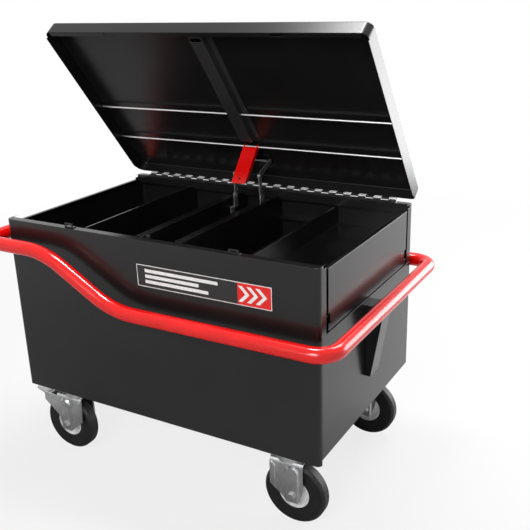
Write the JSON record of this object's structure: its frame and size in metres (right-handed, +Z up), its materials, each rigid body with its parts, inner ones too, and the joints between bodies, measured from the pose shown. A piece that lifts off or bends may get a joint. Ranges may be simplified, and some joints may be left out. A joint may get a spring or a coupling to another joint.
{
  "type": "rolling tool chest",
  "caption": "Sheet-steel tool chest on casters with a hinged lid held by a folding stay, dividers, a sliding tray, a drop side flap and a tubular bumper rail with push handle.",
  "frame": {"origin": "on the floor under the middle of the chest body", "axes": "+X towards the end with the fixed casters and the drop flap, +Y towards the lid hinge, +Z up"},
  "size_m": [1.0738, 0.7238, 1.2063],
  "materials": {
    "black_paint": "semi-gloss powder coat",
    "red_paint": "gloss",
    "zinc": "zinc plated",
    "tyre": "matte",
    "rim": "satin"
  },
  "bodies": {
    "chest": {"front_panel": "black_paint", "rear_panel": "black_paint", "left_side_panel": "black_paint", "right_side_panel": "black_paint", "floor_pan": "black_paint", "front_keepers": "black_paint", "lock_striker": "black_paint", "left_partition": "black_paint", "centre_left_partition": "black_paint", "centre_right_partition": "black_paint", "front_ledge": "black_paint", "rear_ledge": "black_paint", "flap_pins": "zinc", "hinge_body_leaf": "zinc", "hinge_pin": "zinc", "stay_foot_right": "black_paint", "stay_foot_left": "black_paint", "stay_foot_pins": "zinc", "bumper_rail": "red_paint", "push_handle": "red_paint", "rail_spigots": "zinc", "right_gusset": "black_paint", "left_gusset": "black_paint", "rear_left_gusset": "black_paint", "rear_right_gusset": "black_paint", "front_right_fork": "zinc", "rear_right_fork": "zinc", "front_right_axle": "zinc", "rear_right_axle": "zinc", "front_left_plate": "zinc", "rear_left_plate": "zinc", "caster_bolts": "zinc"},
    "lid": {"lid_shell": "black_paint", "lid_channel": "black_paint", "upper_rod": "zinc", "lower_rod": "zinc", "hinge_lid_leaf": "black_paint", "lid_stay_bracket": "black_paint", "stay_lid_pin": "zinc"},
    "stay_lower": {"stay_lower_arms": "zinc"},
    "stay_upper": {"stay_upper_arms": "zinc"},
    "lever": {"release_lever": "red_paint"},
    "flap": {"side_flap": "black_paint"},
    "sliding_tray": {"tray": "black_paint"},
    "front_right_wheel": {"front_right_tyre": "tyre", "front_right_rim": "rim"},
    "front_left_wheel": {"front_left_tyre": "tyre", "front_left_rim": "rim"},
    "front_left_swivel": {"front_left_fork": "zinc", "front_left_axle": "zinc"},
    "front_left_brake": {"front_left_pedal": "zinc"},
    "rear_right_wheel": {"rear_right_tyre": "tyre", "rear_right_rim": "rim"},
    "rear_left_wheel": {"rear_left_tyre": "tyre", "rear_left_rim": "rim"},
    "rear_left_swivel": {"rear_left_fork": "zinc", "rear_left_axle": "zinc"},
    "rear_left_brake": {"rear_left_pedal": "zinc"}
  },
  "joints": [
    {"name": "lid_hinge", "type": "hinge", "parent": "chest", "child": "lid", "pos_m": [0, 0.291, 0.719], "axis": [-1, 0, 0], "range_deg": [-52.4, 8]},
    {"name": "stay_foot_pivot", "type": "hinge", "parent": "chest", "child": "stay_lower", "pos_m": [0, 0.2, 0.706], "axis": [-1, 0, 0], "range_deg": [-68, 11]},
    {"name": "stay_lid_pivot", "type": "hinge", "parent": "lid", "child": "stay_upper", "pos_m": [0, 0.26297, 0.79965], "axis": [-1, 0, 0], "range_deg": [-10, 63]},
    {"name": "lever_pivot", "type": "hinge", "parent": "lid", "child": "lever", "pos_m": [0, 0.22575, 0.84798], "axis": [1, 0, 0], "range_deg": [0, 45]},
    {"name": "flap_pivot", "type": "hinge", "parent": "chest", "child": "flap", "pos_m": [0.458, 0, 0.578], "axis": [0, 1, 0], "range_deg": [0, 100]},
    {"name": "tray_slide", "type": "slide", "parent": "chest", "child": "sliding_tray", "axis": [-1, 0, 0], "range_m": [0, 0.17]},
    {"name": "front_right_wheel", "type": "hinge", "parent": "chest", "child": "front_right_wheel", "pos_m": [0.375, -0.235, 0.085], "axis": [0, 1, 0], "continuous": true},
    {"name": "front_left_swivel", "type": "hinge", "parent": "chest", "child": "front_left_swivel", "pos_m": [-0.345, -0.235, 0.192], "axis": [0, 0, 1], "continuous": true},
    {"name": "front_left_brake", "type": "hinge", "parent": "front_left_swivel", "child": "front_left_brake", "pos_m": [-0.441, -0.235, 0.16], "axis": [0, -1, 0], "range_deg": [0, 18]},
    {"name": "front_left_wheel", "type": "hinge", "parent": "front_left_swivel", "child": "front_left_wheel", "pos_m": [-0.375, -0.235, 0.085], "axis": [0, 1, 0], "continuous": true},
    {"name": "rear_right_wheel", "type": "hinge", "parent": "chest", "child": "rear_right_wheel", "pos_m": [0.375, 0.235, 0.085], "axis": [0, 1, 0], "continuous": true},
    {"name": "rear_left_swivel", "type": "hinge", "parent": "chest", "child": "rear_left_swivel", "pos_m": [-0.345, 0.235, 0.192], "axis": [0, 0, 1], "continuous": true},
    {"name": "rear_left_brake", "type": "hinge", "parent": "rear_left_swivel", "child": "rear_left_brake", "pos_m": [-0.441, 0.235, 0.16], "axis": [0, -1, 0], "range_deg": [0, 18]},
    {"name": "rear_left_wheel", "type": "hinge", "parent": "rear_left_swivel", "child": "rear_left_wheel", "pos_m": [-0.375, 0.235, 0.085], "axis": [0, 1, 0], "continuous": true}
  ],
  "couplings": [
    {"joint": "stay_foot_pivot", "follows": "lid_hinge", "ratio": 1.285},
    {"joint": "stay_lid_pivot", "follows": "lid_hinge", "ratio": -1.195}
  ]
}
